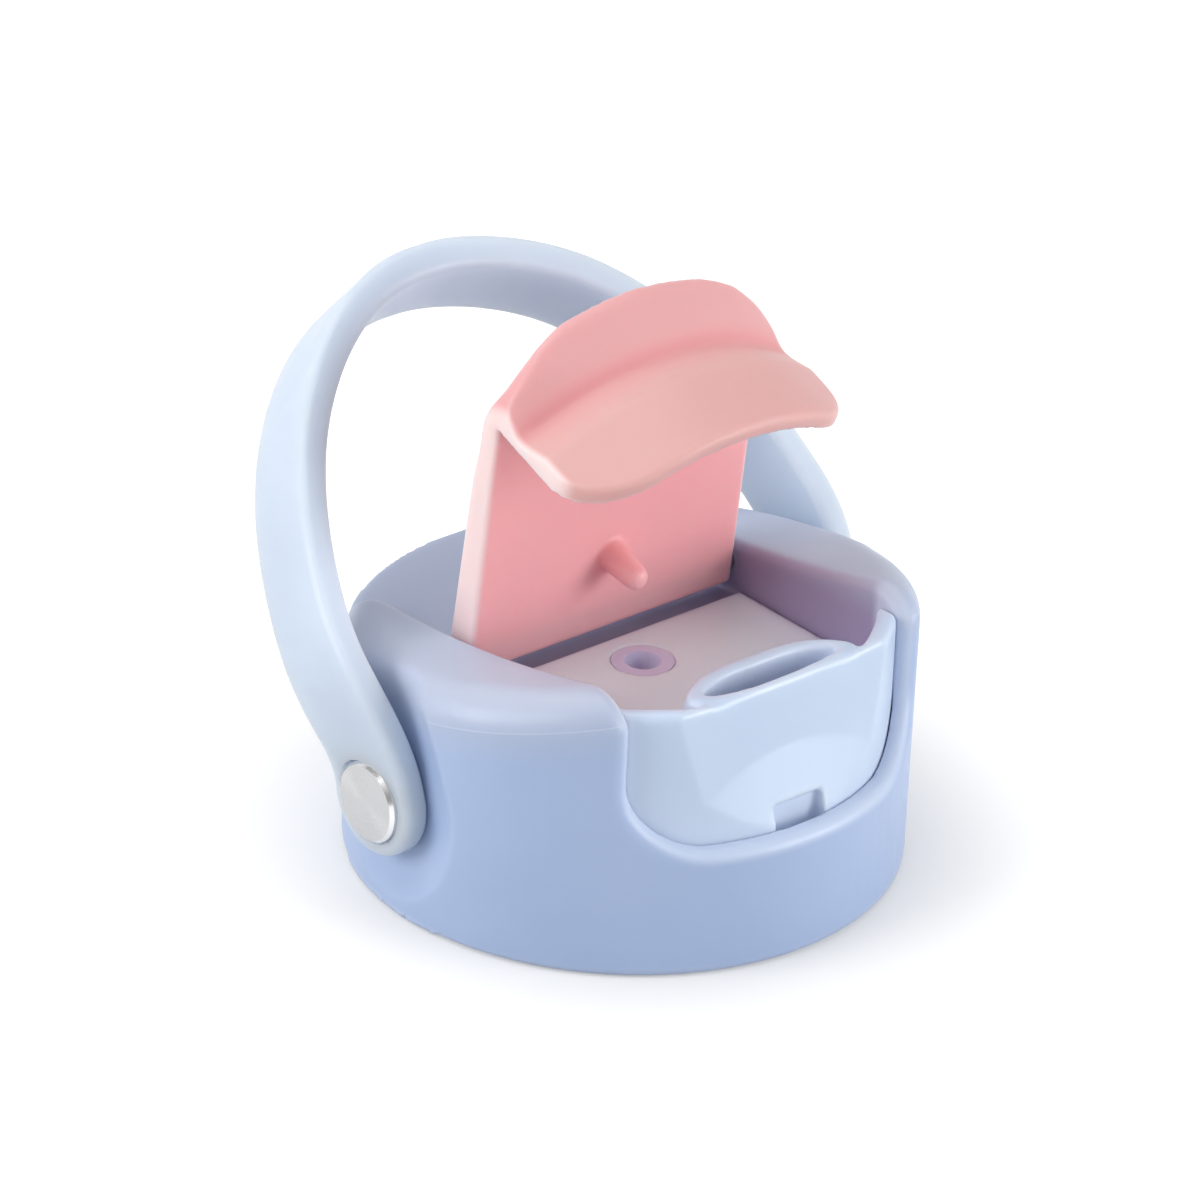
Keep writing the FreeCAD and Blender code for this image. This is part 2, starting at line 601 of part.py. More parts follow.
spout_y = S["spout_y"]
foot = oval("spout_foot", S["floor_z"] - 1, spout_y, S["spout_foot_half"],
            S["spout_foot_rear"], S["spout_front"])
waist = oval("spout_waist", (S["floor_z"] + S["wall_z"]) / 2, spout_y, S["spout_half"],
             S["spout_rear"] + S["spout_belly"], S["spout_front"])
turn_in = S["spout_round"]
brow = oval("spout_brow", S["wall_z"] - turn_in, spout_y, S["spout_half"], S["spout_rear"],
            S["spout_front"])
curl = oval("spout_curl", S["wall_z"] - turn_in * 0.3, spout_y, S["spout_half"] - turn_in * 0.3,
            S["spout_rear"] - turn_in * 0.3, S["spout_front"] - turn_in * 0.3)
lip = oval("spout_lip", S["wall_z"], spout_y, S["spout_half"] - turn_in,
           S["spout_rear"] - turn_in, S["spout_front"] - turn_in)
spout_body = loft("spout_body", [foot, waist, brow, curl, lip])
liner_solid = fuse("liner_solid", [skirt_flat, step, wall_soft, bridge, spout_body])


def leaning(name, radius, lean, y, z):
    """An upright drum whose front line passes y, z and leans back."""
    turn = math.radians(lean.number)
    drum = doc.addObject("Part::Cylinder", name)
    bind(drum, "Radius", radius)
    bind(drum, "Height", far * 2)
    upward = Vector(0, math.sin(turn), math.cos(turn))
    inward = Vector(0, math.cos(turn), -math.sin(turn))
    start = Vector(0, -y.number, z.number) + inward * radius.number - upward * far.number
    drum.Placement = Placement(start, Rotation(Vector(0, 0, 1), upward))
    return drum


scoop_low = leaning("scoop_low", S["scoop_radius_low"], S["scoop_lean_low"],
                    S["liner_radius"], S["scoop_foot_z"])
scoop_high = leaning("scoop_high", S["scoop_radius_high"], S["scoop_lean_high"],
                     S["liner_radius"] - S["scoop_depth"], S["scoop_crease_z"])
scoop = fuse("scoop_tool", [scoop_low, scoop_high])
liner_scooped = common("liner_scooped", [liner_solid, scoop])

neck = rod("neck_room", (0, 0, 0), S["neck_radius"], S["neck_z"])
gasket_groove = rod("gasket_groove_tool", (0, 0, S["groove_foot"]), S["gasket_groove"],
                    S["neck_z"] - S["groove_foot"])
mouth = oval("mouth_top", S["wall_z"] + 0.5, spout_y, S["mouth_half"], S["mouth_rear"],
             S["mouth_front"])
throat = oval("mouth_throat", (S["floor_z"] + S["wall_z"]) / 2, spout_y + 0.6,
              S["mouth_half"] - 0.5, S["mouth_rear"], S["mouth_front"])
outlet = oval("mouth_outlet", S["neck_z"] - 0.5, S["duct_y"], S["duct_half"], S["duct_reach"],
              S["duct_reach"])
duct = loft("spout_duct", [mouth, throat, outlet])
notch = box("latch_notch", (-S["notch_half"], -far, S["window_z"] - 2),
            (S["notch_half"] * 2, far - S["liner_radius"] + S["notch_depth"],
             S["notch_z"] - S["window_z"] + 2))
vent_y = S["vent_y"]
vent_seat = rod("vent_seat", (0, vent_y, S["floor_z"] - S["vent_disc"] - S["vent_sink"]),
                S["vent_radius"] + S["vent_gap"], far)
vent_way = rod("vent_way", (0, vent_y, 0), S["vent_neck"], far)
floor_room = box("floor_hollow",
                 (-S["floor_half"] + S["channel_wall"], S["duct_y"] + S["duct_reach"], 0),
                 (S["floor_half"] * 2 - S["channel_wall"] * 2,
                  S["floor_rear"] - S["duct_y"] - S["duct_reach"] - S["deck_skin"],
                  S["floor_z"] - S["deck_skin"] - S["vent_sink"]))
liner_tools = fuse("liner_tools", [neck, gasket_groove, duct, notch, vent_seat, vent_way, floor_room])
liner = cut("spout_liner", liner_scooped, liner_tools)
liner.Label = "spout_liner"


# Turned parts: vent valve, neck gasket, rivet caps and rivet screws
def lathe(name, points, base, rotation):
    """A body turned round its own upright axis from a profile of radius and height."""
    body = doc.addObject("PartDesign::Body", name)
    body.Label = name
    sketch = body.newObject("Sketcher::SketchObject", name + "_profile")
    plane = [item for item in body.Origin.OriginFeatures if item.Role == "XZ_Plane"][0]
    sketch.AttachmentSupport = [(plane, "")]
    sketch.MapMode = "FlatFace"
    corners = [(as_size(a), as_size(b)) for a, b in points]
    count = len(corners)
    for number in range(count):
        start = corners[number]
        end = corners[(number + 1) % count]
        sketch.addGeometry(Part.LineSegment(Vector(start[0].number, start[1].number, 0),
                                            Vector(end[0].number, end[1].number, 0)), False)
    for number in range(count):
        sketch.addConstraint(Sketcher.Constraint("Coincident", number, 2, (number + 1) % count, 1))
    for number in range(count):
        for kind, value in zip(("DistanceX", "DistanceY"), corners[number]):
            index = sketch.addConstraint(
                Sketcher.Constraint(kind, -1, 1, number, 1, value.number))
            sketch.setExpression("Constraints[%d]" % index, value.text)
    doc.recompute()
    turn = body.newObject("PartDesign::Revolution", name + "_turn")
    turn.Profile = sketch
    turn.ReferenceAxis = (sketch, ["V_Axis"])
    turn.Angle = 360
    body.Tip = turn
    place(body, base, rotation)
    doc.recompute()
    return body


disc_top = S["floor_z"] - S["vent_sink"]
under_floor = S["deck_skin"]
valve = lathe("vent_valve", [
    (S["vent_hole"], -S["vent_dimple_depth"]),
    (S["vent_dimple_low"], -S["vent_dimple_depth"]),
    (S["vent_dimple"], 0),
    (S["vent_radius"], 0),
    (S["vent_radius"], -S["vent_disc"]),
    (S["vent_neck"], -S["vent_disc"]),
    (S["vent_neck"], -under_floor),
    (S["vent_barb"], -under_floor),
    (S["vent_neck"], -under_floor - S["vent_barb_height"]),
    (S["vent_hole"], -under_floor - S["vent_barb_height"]),
], (0, vent_y, disc_top), Rotation())

gasket = lathe("neck_gasket", [
    (S["gasket_inner"], 0),
    (S["gasket_outer"], 0),
    (S["gasket_outer"], -S["gasket_height"]),
    (S["gasket_outer"] - S["gasket_bead"], -S["gasket_height"]),
    (S["gasket_outer"] - S["gasket_bead"] * 2, -S["gasket_height"] - S["gasket_bead"] * 0.5),
    (S["gasket_inner"] + S["gasket_bead"], -S["gasket_height"]),
    (S["gasket_inner"], -S["gasket_height"]),
], (0, 0, S["neck_z"]), Rotation())


def rivet(side, word):
    rotation = Rotation(Vector(0, 0, 1), Vector(side, 0, 0))
    cap = lathe("rivet_cap_" + word, [
        (0, S["thread_hole_end"] - S["head_seat"]),
        (S["thread_radius"], S["thread_hole_end"] - S["head_seat"]),
        (S["thread_radius"], 0),
        (S["barrel_radius"], 0),
        (S["barrel_radius"], S["cap_seat"] - S["head_seat"]),
        (S["cap_radius"], S["cap_seat"] - S["head_seat"]),
        (S["cap_radius"], S["cap_face"] - S["cap_bevel"] - S["head_seat"]),
        (S["cap_radius"] - S["cap_bevel"], S["cap_face"] - S["head_seat"]),
        (0, S["cap_face"] - S["head_seat"]),
    ], (S["head_seat"] * side, S["pivot_y"], S["pivot_z"]), rotation)
    screw = lathe("rivet_screw_" + word, [
        (0, 0),
        (S["head_radius"], 0),
        (S["head_radius"], S["head_seat"] - S["head_face"]),
        (S["thread_radius"], S["head_seat"] - S["head_face"]),
        (S["thread_radius"], S["thread_end"] - S["head_face"]),
        (0, S["thread_end"] - S["head_face"]),
    ], (S["head_face"] * side, S["pivot_y"], S["pivot_z"]), rotation)
    return [cap, screw]


rivets = rivet(1, "right") + rivet(-1, "left")

pin = rod("cover_hinge_pin", (-S["pin_half"], S["hinge_y"], S["hinge_z"]), S["pin_radius"],
          S["pin_half"] * 2, ALONG_X)
pin.Label = "cover_hinge_pin"

# Flip cover, drawn with the hinge axis at the origin and the plate standing along Z
cover_half = S["cover_half"]
closed_turn = S["cover_lean"].number + S["cover_swing"].number
unclose = Rotation(Vector(1, 0, 0), -closed_turn)
closed_base = unclose.multVec(Vector(0, -S["hinge_y"].number, -S["hinge_z"].number))
CLOSED = Placement(closed_base, unclose)
taper = math.tan(math.radians(S["plate_taper"].number))
taper_size = Size(taper, "tan(sizes.plate_taper * 1 deg)")
plate_side = outline("plate_side", [
    (-S["plate_inner"], -S["plate_heel"]),
    (S["plate_outer"], -S["plate_heel"]),
    (S["plate_outer"], 0),
    (S["plate_outer"] - S["plate_length"] * taper_size, S["plate_length"]),
    (-S["plate_inner"], S["plate_length"]),
], SIDE_VIEW)
plate_long = prism("plate_long", plate_side, cover_half, cover_half)
trim = rod("plate_trim_tool", (0, 0, -far), S["plate_trim"], far * 3)
trim.setExpression(".Placement.Base.x", None)
trim.setExpression(".Placement.Base.y", None)
trim.setExpression(".Placement.Base.z", None)
trim.Placement = CLOSED.multiply(Placement(Vector(0, 0, -far.number), Rotation()))
plate_cut = common("plate_cut", [plate_long, trim])


def is_heel(edge, front):
    low = edge.BoundBox
    near = abs(low.ZMax + S["plate_heel"].number) < 0.01 and low.XLength > 1
    if front:
        return near and low.YMax < 0
    return near and low.YMin > 0


plate_front = fillet("plate_heel_front", plate_cut, "heel_front_round",
                     lambda edge: is_heel(edge, True))
plate = fillet("plate_heel", plate_front, "heel_rear_round", lambda edge: is_heel(edge, False))

tongue_profile = doc.addObject("Sketcher::SketchObject", "tongue_profile")
tongue_profile.Placement = Placement(Vector(0, 0, 0), FRONT_VIEW)
inner = S["tongue_inner"].number
outer = S["shell_radius"].number
top = S["shell_block"].number + S["block_spare"].number
low_z = S["tongue_foot"].number - 1
arc_start = Vector(outer, S["tongue_straight"].number, 0)
arc_middle = Vector(S["groove_radius"].number, S["groove_z"].number, 0)
arc_end = Vector(S["eave_out"].number, S["eave_z"].number, 0)
tongue_profile.addGeometry(Part.LineSegment(Vector(inner, low_z, 0), Vector(outer, low_z, 0)))
tongue_profile.addGeometry(Part.LineSegment(Vector(outer, low_z, 0), arc_start))
tongue_profile.addGeometry(Part.Arc(arc_start, arc_middle, arc_end))
tongue_profile.addGeometry(Part.LineSegment(arc_end, Vector(arc_end.x, top, 0)))
tongue_profile.addGeometry(Part.LineSegment(Vector(arc_end.x, top, 0), Vector(inner, top, 0)))
tongue_profile.addGeometry(Part.LineSegment(Vector(inner, top, 0), Vector(inner, low_z, 0)))
doc.recompute()
tongue_ring = turned("tongue_ring", tongue_profile, Vector(0, 0, 1), Vector(0, 0, 0))
half_corner = S["tongue_corner"]
tongue_mid = box("tongue_middle", (-cover_half, -far, S["tongue_foot"] + half_corner),
                 (cover_half * 2, far, far))
tongue_low = box("tongue_low", (-cover_half + half_corner, -far, S["tongue_foot"]),
                 (cover_half * 2 - half_corner * 2, far, far))
tongue_left = rod("tongue_corner_left",
                  (-cover_half + half_corner, -far, S["tongue_foot"] + half_corner),
                  half_corner, far, INTO_Y)
tongue_right = rod("tongue_corner_right",
                   (cover_half - half_corner, -far, S["tongue_foot"] + half_corner),
                   half_corner, far, INTO_Y)
tongue_mask = fuse("tongue_mask", [tongue_mid, tongue_low, tongue_left, tongue_right])
tongue_raw = common("tongue_raw", [tongue_ring, tongue_mask])
tongue_raw.Placement = CLOSED
roof_side = outline("cover_roof_side", [
    (-far, -far),
    (S["plate_outer"], -far),
    (S["plate_outer"], 0),
    (S["plate_outer"] - far * taper_size, far),
    (-far, far),
], SIDE_VIEW)
cover_roof = prism("cover_roof", roof_side, far, far)
tongue = common("cover_tongue", [tongue_raw, cover_roof])

# The outline of the cover's free end is rounder than the shell
eave_turn = Rotation(Vector(1, 0, 0), -S["eave_lean"].number)
eave_base = (0, S["eave_mid"] - S["shell_radius"], S["eave_mid_z"])
eave_room = rod("eave_room", eave_base, S["eave_radius"], far, eave_turn)
eave_deep = rod("eave_room_low", eave_base, S["eave_radius"], far,
                eave_turn.multiply(Rotation(Vector(1, 0, 0), 180)))
eave_rear = box("eave_room_rear", (-far, -S["eave_ends"], -far), (far * 2, far * 2, far * 2))
eave_mask = fuse("eave_mask", [eave_room, eave_deep, eave_rear])
eave_mask.Placement = CLOSED
blank = fuse("cover_blank", [plate, tongue], True)
trimmed = common("cover_trimmed", [blank, eave_mask])


def is_cover_rim(edge):
    """The plate's long sides, the ridge at its free end and the tongue's lower outer rim."""
    low = edge.BoundBox
    if low.YMin > 0:
        return low.ZLength > S["plate_length"].number / 2 or (
            low.XLength > S["cover_gap"].number and low.ZMin > S["tongue_straight"].number)
    middle = CLOSED.inverse().multVec(
        edge.valueAt((edge.FirstParameter + edge.LastParameter) / 2))
    on_skin = abs(math.hypot(middle.x, middle.y) - S["shell_radius"].number) < 0.01
    return on_skin and middle.z < (S["tongue_foot"] + S["tongue_corner"]).number - 0.01


cover_soft = fillet("cover_soft", trimmed, "edge_round", is_cover_rim)

peg_turn = math.radians(S["peg_tilt"].number)
peg_way = Vector(0, -math.cos(peg_turn), -math.sin(peg_turn))
peg = doc.addObject("Part::Cone", "peg_body")
bind(peg, "Radius1", S["peg_foot"])
bind(peg, "Radius2", S["peg_tip"])
bind(peg, "Height", S["peg_length"] + S["peg_root"])
peg.Placement = Placement(
    Vector(0, -S["plate_inner"].number, S["peg_height"].number) - peg_way * S["peg_root"].number,
    Rotation(Vector(0, 0, 1), peg_way))
peg_soft = fillet("peg_soft", peg, "peg_round",
                  lambda edge: edge.BoundBox.XLength < S["peg_tip"].number * 2 + 0.01
                  and edge.BoundBox.XLength > S["peg_tip"].number)
cover_solid = fuse("cover_solid", [cover_soft, peg_soft])
cover_bore = rod("cover_bore", (-far, 0, 0), S["pin_radius"] + S["pin_gap"], far * 2, ALONG_X)
cover = cut("flip_cover", cover_solid, cover_bore)
cover.Label = "flip_cover"
cover.Placement = Placement(Vector(0, S["hinge_y"].number, S["hinge_z"].number),
                            Rotation(Vector(1, 0, 0), S["cover_lean"].number))


# Strap: one loft through rounded sections from eye to eye, with the eyes added
def section(name, base, rotation, width, thick, corner_radius):
    sketch = doc.addObject("Sketcher::SketchObject", name)
    place(sketch, base, rotation)
    a = width.number / 2
    b = thick.number / 2
    r = corner_radius.number
    corners = [(a - r, -b), (a, -b + r), (a, b - r), (a - r, b),
               (-a + r, b), (-a, b - r), (-a, -b + r), (-a + r, -b)]
    centres = [(a - r, -b + r), (a - r, b - r), (-a + r, b - r), (-a + r, -b + r)]
    lines = []
    for number in range(4):
        start = corners[number * 2]
        end = corners[number * 2 + 1]
        centre = centres[number]
        angle = math.radians(-90 + 90 * number)
        arc = Part.ArcOfCircle(Part.Circle(Vector(centre[0], centre[1], 0), Vector(0, 0, 1), r),
                               angle, angle + math.pi / 2)
        sketch.addGeometry(arc, False)
        after = corners[(number * 2 + 2) % 8]
        lines.append((end, after))
        sketch.addGeometry(Part.LineSegment(Vector(end[0], end[1], 0),
                                            Vector(after[0], after[1], 0)), False)
    for number in range(4):
        arc_id = number * 2
        line_id = number * 2 + 1
        next_id = (number * 2 + 2) % 8
        sketch.addConstraint(Sketcher.Constraint("Tangent", arc_id, 2, line_id, 1))
        sketch.addConstraint(Sketcher.Constraint("Tangent", line_id, 2, next_id, 1))
    for number, (x, y) in enumerate(centres):
        sign_x = 1 if x > 0 else -1
        sign_y = 1 if y > 0 else -1
        for kind, whole, sign, value in (("DistanceX", width, sign_x, x),
                                         ("DistanceY", thick, sign_y, y)):
            index = sketch.addConstraint(
                Sketcher.Constraint(kind, -1, 1, number * 2, 3, value))
            formula = (whole / 2 - corner_radius) * sign
            sketch.setExpression("Constraints[%d]" % index, formula.text)
        index = sketch.addConstraint(Sketcher.Constraint("Radius", number * 2, r))
        sketch.setExpression("Constraints[%d]" % index, corner_radius.text)
    doc.recompute()
    return sketch


path = [Vector(S["strap_middle"].number * share, S["pivot_y"].number + behind,
               S["pivot_z"].number + above) for share, behind, above, *_ in STATIONS]
path.append(Vector(-path[-2].x, path[-2].y, path[-2].z))
strap_sections = []
for number, station in enumerate(STATIONS):
    letter = letters[number]
    lean = math.radians(station[3])
    if number == 0:
        along = Vector(0, math.sin(lean), math.cos(lean))
    else:
        along = path[number + 1] - path[number - 1]
    along.normalize()
    width_way = Vector(0, math.cos(lean), -math.sin(lean))
    width_way = width_way - along * width_way.dot(along)
    width_way.normalize()
    outward = along.cross(width_way)
    strap_sections.append(section(
        "strap_section_" + letter,
        (S["strap_middle"] * S["strap_x_" + letter], S["pivot_y"] + S["strap_y_" + letter],
         S["pivot_z"] + S["strap_z_" + letter]),
        Rotation(width_way, outward, along, "XYZ"),
        S["strap_width"] + S["eye_swell"] * S["strap_swell_" + letter],
        S["strap_thick"] + S["strap_thick_" + letter], S["strap_corner"]))
band = loft("strap_band", strap_sections)
band_left = doc.addObject("Part::Mirroring", "strap_band_left")
band_left.Source = band
band_left.Normal = Vector(1, 0, 0)
doc.recompute()
eye_discs = side_rods("strap_eye", S["strap_inner"], S["strap_outer"], S["eye_radius"])
eye_soft = [fillet(disc.Name + "_soft", disc, "strap_corner",
                   lambda edge: edge.BoundBox.XLength < 0.01) for disc in eye_discs]
# Below the band's first section the eye is half a disc, so the two meet face to face
eye_turn = Rotation(Vector(1, 0, 0), -S["strap_turn_a"].number)
eye_room = doc.addObject("Part::Box", "strap_eye_room")
bind(eye_room, "Length", far * 2)
bind(eye_room, "Width", far)
bind(eye_room, "Height", far / 2)
eye_room.Placement = Placement(Vector(0, S["pivot_y"].number, S["pivot_z"].number),
                               eye_turn).multiply(
    Placement(Vector(-far.number, -far.number / 2, -far.number / 2), Rotation()))
eyes = [common(soft.Name + "_low", [soft, eye_room]) for soft in eye_soft]
strap_solid = fuse("strap_solid", [band, band_left] + eyes)
eye_bores = side_rods("strap_bore", S["strap_inner"] - 1, S["strap_outer"] + 1,
                      S["barrel_radius"] + S["eye_gap"])
eye_sinks = side_rods("strap_sink", S["strap_outer"] - S["eye_sink_depth"],
                      S["strap_outer"] + 2, S["cap_radius"] + S["eye_sink"])
strap_tools = fuse("strap_tools", eye_bores + eye_sinks)
strap = cut("carry_strap", strap_solid, strap_tools)
strap.Label = "carry_strap"
doc.recompute()

PIECES = [shell, liner, cover, pin, valve, gasket, strap] + rivets
faults = []
for item in doc.Objects:
    if "Invalid" in item.State or "Error" in item.State:
        faults.append("%s: %s" % (item.Name, item.State))
for piece in PIECES:
    if piece.Shape.isNull() or not piece.Shape.isValid():
        faults.append(piece.Label + ": shape is not valid")
if faults:
    raise RuntimeError("; ".join(faults))
for piece in PIECES:
    piece.Shape.exportStep("parts/%s.step" % piece.Label)
    print(piece.Label, "solids", len(piece.Shape.Solids), "volume", round(piece.Shape.Volume, 1),
          "box", [round(value, 2) for value in (
              piece.Shape.BoundBox.XMin, piece.Shape.BoundBox.XMax, piece.Shape.BoundBox.YMin,
              piece.Shape.BoundBox.YMax, piece.Shape.BoundBox.ZMin, piece.Shape.BoundBox.ZMax)])
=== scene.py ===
import math

import bpy
import numpy as np
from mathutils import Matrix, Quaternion, Vector


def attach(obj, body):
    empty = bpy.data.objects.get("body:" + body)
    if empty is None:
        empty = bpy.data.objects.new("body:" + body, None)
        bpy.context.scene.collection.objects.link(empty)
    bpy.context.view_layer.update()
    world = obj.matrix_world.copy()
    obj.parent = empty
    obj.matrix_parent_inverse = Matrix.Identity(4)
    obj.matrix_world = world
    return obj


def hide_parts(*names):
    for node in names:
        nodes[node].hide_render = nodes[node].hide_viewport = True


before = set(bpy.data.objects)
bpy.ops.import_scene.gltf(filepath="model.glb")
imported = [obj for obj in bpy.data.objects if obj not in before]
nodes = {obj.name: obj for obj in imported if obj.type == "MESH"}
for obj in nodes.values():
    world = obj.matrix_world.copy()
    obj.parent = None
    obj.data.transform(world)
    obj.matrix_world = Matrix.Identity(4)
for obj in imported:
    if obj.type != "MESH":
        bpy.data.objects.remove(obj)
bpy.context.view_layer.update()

# Places on the cap, in metres: the cap axis is Z, the spout faces minus Y
PIVOT_Y = 0.0043
PIVOT_Z = 0.0134
HINGE_Y = 0.0063
HINGE_Z = 0.0262
SPOUT_Y = -0.0229
COVER_SWING = math.radians(69.0)
COVER_LEAN = math.radians(6.0)

# The shell's skin, which widens a little upward, and the crown and shoulder over it
SHELL_RADIUS = 0.0315
SHELL_GROWTH = 0.00025 / 0.0437
CROWN_Y = 0.0220
CROWN_TOP = 0.1760
CROWN_RADIUS = 0.1480
SHOULDER_DROP = 0.0042

# The dent beside each rivet: a flat floor with round flanks, leaning back
DENT_FLAT = 0.02988
DENT_HALF = 0.0067
DENT_CURVE = 0.0060
DENT_LEAN = math.radians(24.0)

# The thread inside the neck bore
NECK_RADIUS = 0.0250
THREAD_DEPTH = 0.0011
THREAD_ROOT = 0.0002
THREAD_PITCH = 0.0040
THREAD_START = 0.0030
THREAD_TURNS = 2.25
THREAD_STEPS = 96
THREAD_TAPER = 10.0
THREAD_PROFILE = ((0.0, -0.0011), (0.55, -0.0008), (1.0, -0.0004), (1.0, 0.0004), (0.55, 0.0008),
                  (0.0, 0.0011))

# Limits between which a tint, a painted light or shade, or a shape fades: first where it starts,
# then where it ends
CHANNEL_SIDE = (0.0198, 0.0206)
CHANNEL_REACH = (0.0262, 0.0272)
CHANNEL_HEIGHT = (0.0275, 0.0350)
CHANNEL_FRONT = (-0.0280, -0.0180)
CHANNEL_REAR = (0.0060, 0.0120)
FLOOR_HEIGHT = (0.0228, 0.0240)
RIM_BAND = (0.0002, 0.0014)
RIM_FRONT = (-0.0190, -0.0170)
SKIN_REACH = (0.0308, 0.0312)
TOP_LIGHT_DROP = (0.0, 0.0090)
PARTING_LINE = (0.0, 0.00012)
COVER_SIDE = (0.0183, 0.0191)
CREST_HEIGHT = (0.0024, 0.0046)
CREST_FRONT = (0.0150, 0.0200)
TROUGH_BAND = (0.0, 0.0022)
TROUGH_FRONT = (0.0200, 0.0240)
PLATE_FACE = (-0.0014, -0.0008)
PLATE_REACH = (0.0276, 0.0288)
RIVET_BEVEL = (0.00425, 0.00435)
NOISE_MIDDLE = (0.3, 0.7)

# The rounded corners of the front window, and the trough's height over the hinge
RIM_SIDE = 0.0115
RIM_HEIGHT = 0.0230
RIM_RADIUS = 0.0084
TROUGH_HEIGHT = 0.0030

# The photograph's view
CAMERA_PLACE = (-0.46090, -0.52101, 0.39512)
CAMERA_AIM = (0.00553, 0.01178, 0.02287)
CAMERA_ROLL = 2.253
CAMERA_LENS = 214.18


class Nodes:
    """Short names for making shader nodes in one tree."""

    def __init__(self, tree):
        self.tree = tree
        tree.nodes.clear()

    def add(self, kind, **settings):
        node = self.tree.nodes.new(kind)
        for key, value in settings.items():
            setattr(node, key, value)
        return node

    def link(self, output, socket):
        self.tree.links.new(output, socket)

    def put(self, value, socket):
        if hasattr(value, "links"):
            self.link(value, socket)
        else:
            socket.default_value = value

    def math(self, operation, first, second=0.0):
        node = self.add("ShaderNodeMath", operation=operation)
        self.put(first, node.inputs[0])
        self.put(second, node.inputs[1])
        return node.outputs[0]

    def plus(self, first, second):
        return self.math("ADD", first, second)

    def minus(self, first, second):
        return self.math("SUBTRACT", first, second)

    def times(self, first, second):
        return self.math("MULTIPLY", first, second)

    def length(self, first, second):
        """The length of a pair of coordinates."""
        return self.math("SQRT", self.plus(self.times(first, first), self.times(second, second)))

    def place(self):
        """Object coordinates and their three parts."""
        point = self.add("ShaderNodeTexCoord").outputs["Object"]
        split = self.add("ShaderNodeSeparateXYZ")
        self.link(point, split.inputs[0])
        return point, split.outputs[0], split.outputs[1], split.outputs[2]

    def noise(self, point, scale, detail=2.0, rough=0.5):
        node = self.add("ShaderNodeTexNoise")
        self.link(point, node.inputs["Vector"])
        node.inputs["Scale"].default_value = scale
        node.inputs["Detail"].default_value = detail
        node.inputs["Roughness"].default_value = rough
        return node.outputs[0]

    def spread(self, value, limits, low, high, smooth=False):
        """The value's way between the limits, mapped to low and high."""
        node = self.add("ShaderNodeMapRange")
        node.interpolation_type = "SMOOTHSTEP" if smooth else "LINEAR"
        self.put(value, node.inputs["Value"])
        for word, number in (("From Min", limits[0]), ("From Max", limits[1]),
                             ("To Min", low), ("To Max", high)):
            node.inputs[word].default_value = number
        return node.outputs[0]

    def rise(self, value, limits):
        """Zero before the limits and one past them."""
        return self.spread(value, limits, 0.0, 1.0, True)

    def fall(self, value, limits):
        """One before the limits and zero past them."""
        return self.spread(value, limits, 1.0, 0.0, True)

    def varied(self, point, scale, low, high, detail=2.0):
        """A value that drifts between low and high with a noise."""
        return self.spread(self.noise(point, scale, detail), NOISE_MIDDLE, low, high)

    def mix(self, share, first, second):
        node = self.add("ShaderNodeMix", data_type="RGBA")
        self.put(share, node.inputs[0])
        self.put(first, node.inputs[6])
        self.put(second, node.inputs[7])
        return node.outputs[2]

    def openness(self, distance, inside):
        node = self.add("ShaderNodeAmbientOcclusion", samples=2, inside=inside, only_local=inside)
        node.inputs["Distance"].default_value = distance
        return node.outputs["AO"]

    def hollow(self, distance):
        """One in corners and hollows, zero in the open."""
        return self.spread(self.openness(distance, False), (0.45, 0.98), 1.0, 0.0)

    def brim(self, distance):
        """One on outer edges and thin rims, zero on flat walls."""
        return self.fall(self.openness(distance, True), (0.45, 0.95))

    def bump(self, height, distance, strength=1.0, normal=None):
        node = self.add("ShaderNodeBump")
        self.put(height, node.inputs["Height"])
        node.inputs["Distance"].default_value = distance
        node.inputs["Strength"].default_value = strength
        if normal is not None:
            self.link(normal, node.inputs["Normal"])
        return node.outputs[0]

    def surface(self, colour, roughness, normal, **settings):
        shader = self.add("ShaderNodeBsdfPrincipled")
        shader.inputs["Subsurface Radius"].default_value = (1.0, 1.0, 1.0)
        self.put(colour, shader.inputs["Base Color"])
        self.put(roughness, shader.inputs["Roughness"])
        for word, value in settings.items():
            shader.inputs[word.replace("_", " ")].default_value = value
        self.link(normal, shader.inputs["Normal"])
        output = self.add("ShaderNodeOutputMaterial")
        self.link(shader.outputs[0], output.inputs[0])
        return shader


def material(name):
    made = bpy.data.materials.new(name)
    made.use_nodes = True
    return made, Nodes(made.node_tree)


def shade(red, green, blue):
    """A colour written as eight-bit screen values."""
    parts = []
    for value in (red, green, blue):
        value /= 255.0
        parts.append(value / 12.92 if value <= 0.04045 else ((value + 0.055) / 1.055) ** 2.4)
    return (*parts, 1.0)


def grey(value, blue_shift=0.01):
    """A metal's grey, a touch blue."""
    return (value, value, value + blue_shift, 1.0)


def painted_light_share(n, x, y, z):
    """One between the cheeks, where the cover's pink light falls on the walls and the floor; there
    the materials paint reflected light and shade.
    """
    across = n.times(n.fall(n.math("ABSOLUTE", x), CHANNEL_SIDE),
                     n.fall(n.length(x, y), CHANNEL_REACH))
    low = n.fall(z, CHANNEL_HEIGHT)
    front = n.rise(y, CHANNEL_FRONT)
    rear = n.fall(y, CHANNEL_REAR)
    return n.times(n.times(across, low), n.times(front, rear))


def window_rim_highlight(n, x, y, z):
    """One on the rounded rim of the front window, where the plastic is thin and a painted highlight
    makes it pale.
    """
    side = n.math("MAXIMUM", n.minus(n.math("ABSOLUTE", x), RIM_SIDE), 0.0)
    down = n.math("MAXIMUM", n.minus(RIM_HEIGHT, z), 0.0)
    near = n.math("ABSOLUTE", n.minus(n.length(side, down), RIM_RADIUS))
    return n.times(n.fall(near, RIM_BAND), n.fall(y, RIM_FRONT))


